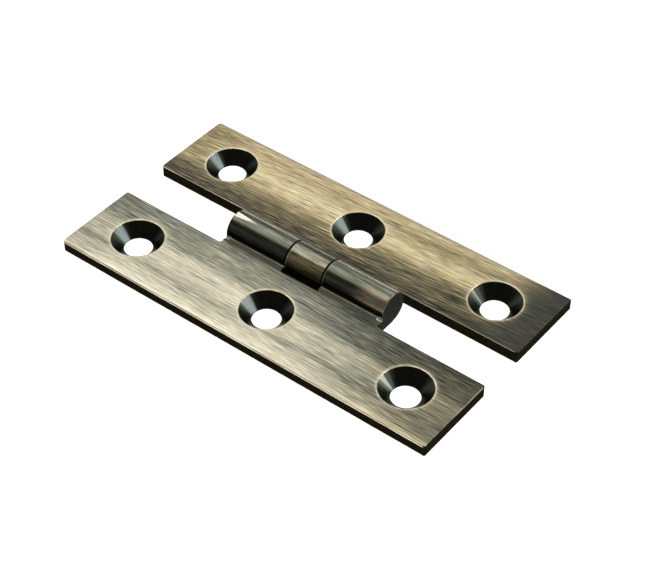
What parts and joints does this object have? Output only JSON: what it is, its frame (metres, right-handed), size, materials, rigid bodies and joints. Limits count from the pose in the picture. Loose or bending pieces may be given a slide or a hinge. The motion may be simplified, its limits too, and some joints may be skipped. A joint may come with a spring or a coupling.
{
  "type": "h hinge",
  "caption": "Small flat cabinet hinge, H-shaped when open: two countersunk leaves in antique brass turn on one pin.",
  "frame": {"origin": "on the back plane of both leaves, under the middle of the pin", "axes": "+X along the pin, +Y across the open leaves towards the leaf with the middle knuckle, +Z out of the countersunk faces"},
  "size_m": [0.064, 0.035, 0.005],
  "materials": {
    "leaf_brass": "brushed antique brass, lacquered, with worn bright edges",
    "pin_brass": "darkened brass, ends finished flush with the barrel"
  },
  "bodies": {
    "fixed_leaf": {"two_knuckle_leaf": "leaf_brass", "hinge_pin": "pin_brass"},
    "swinging_leaf": {"one_knuckle_leaf": "leaf_brass"}
  },
  "joints": [
    {"name": "leaf_swing", "type": "hinge", "parent": "fixed_leaf", "child": "swinging_leaf", "pos_m": [0, 0, 0.0025], "axis": [1, 0, 0], "range_deg": [-104, 180]}
  ]
}
